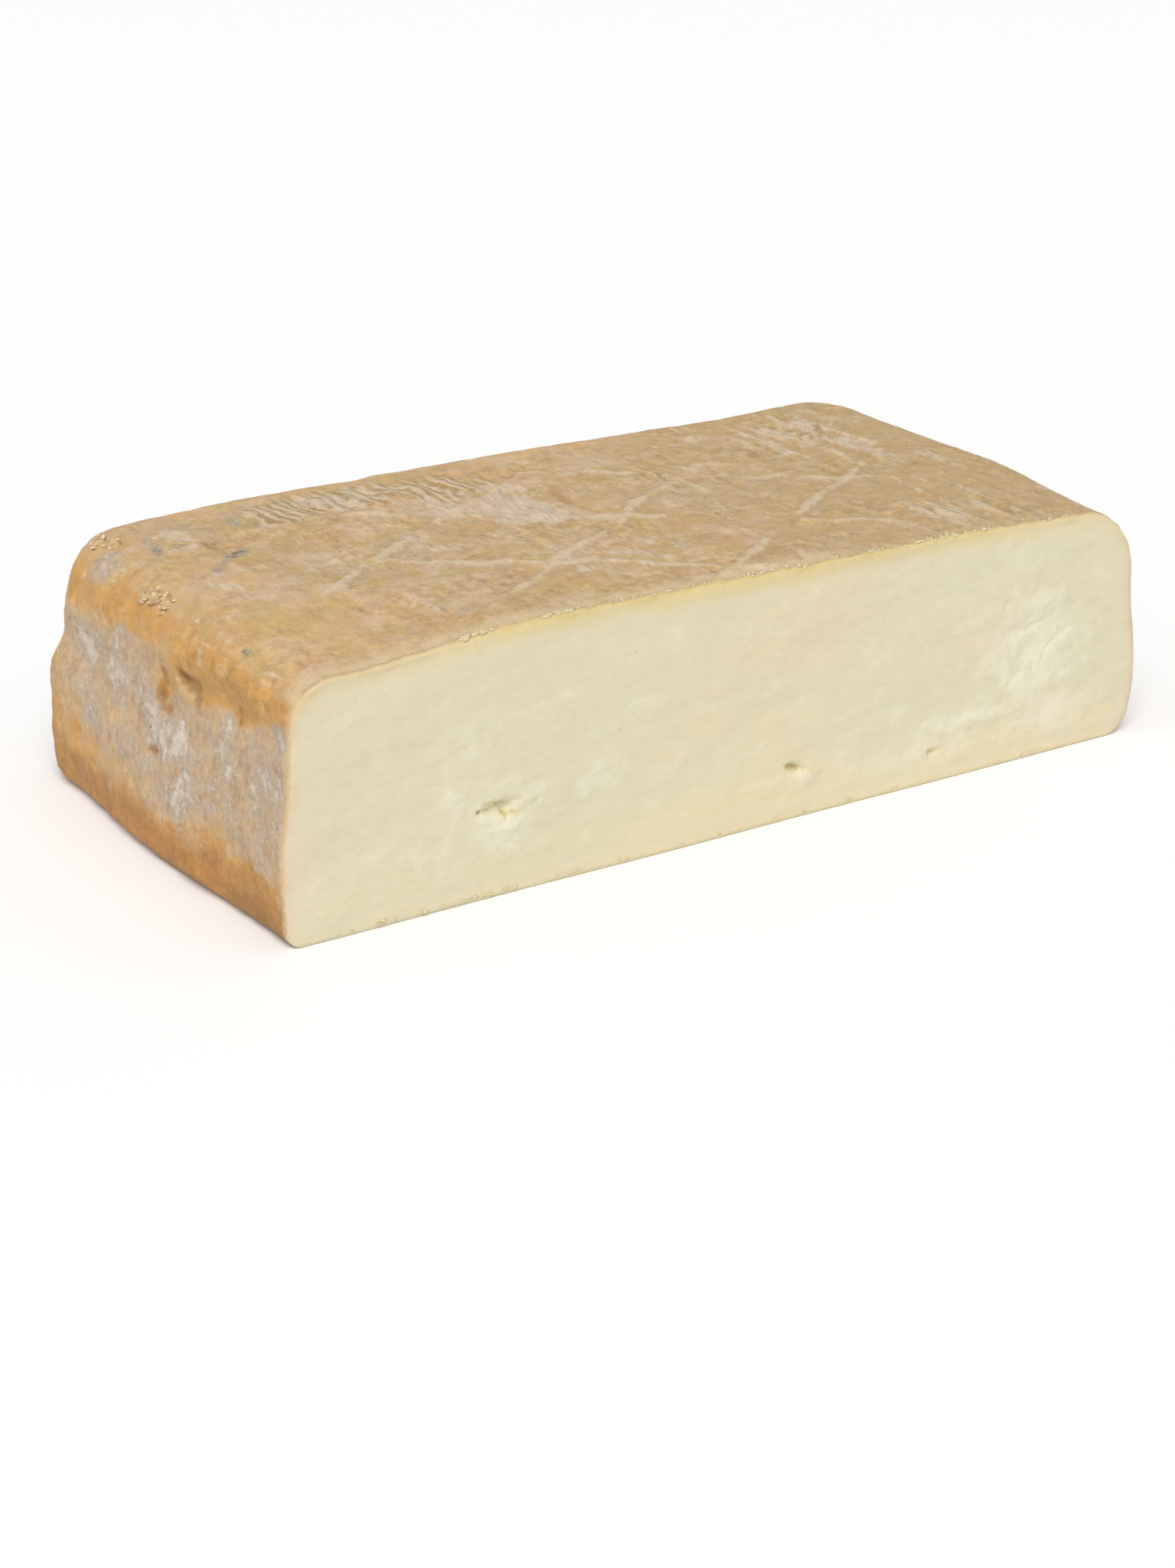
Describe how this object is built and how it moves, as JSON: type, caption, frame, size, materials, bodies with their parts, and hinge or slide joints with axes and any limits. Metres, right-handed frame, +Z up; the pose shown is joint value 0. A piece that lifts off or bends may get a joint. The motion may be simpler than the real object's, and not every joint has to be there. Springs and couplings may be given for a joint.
{
  "type": "taleggio cheese half",
  "caption": "Half of a square washed-rind soft cheese, cut straight across: a low block with soft corners, a ridged tan rind and a flat pale cut face.",
  "frame": {"origin": "middle of the footprint's bounding box, on the surface that the cheese rests on", "axes": "+X along the cut face, +Y from the cut face into the cheese, +Z up from the flat base"},
  "size_m": [0.2016, 0.1018, 0.0526],
  "materials": {
    "rind": "matte",
    "paste": "satin"
  },
  "bodies": {
    "root": {"taleggio_half": "rind"}
  },
  "joints": []
}
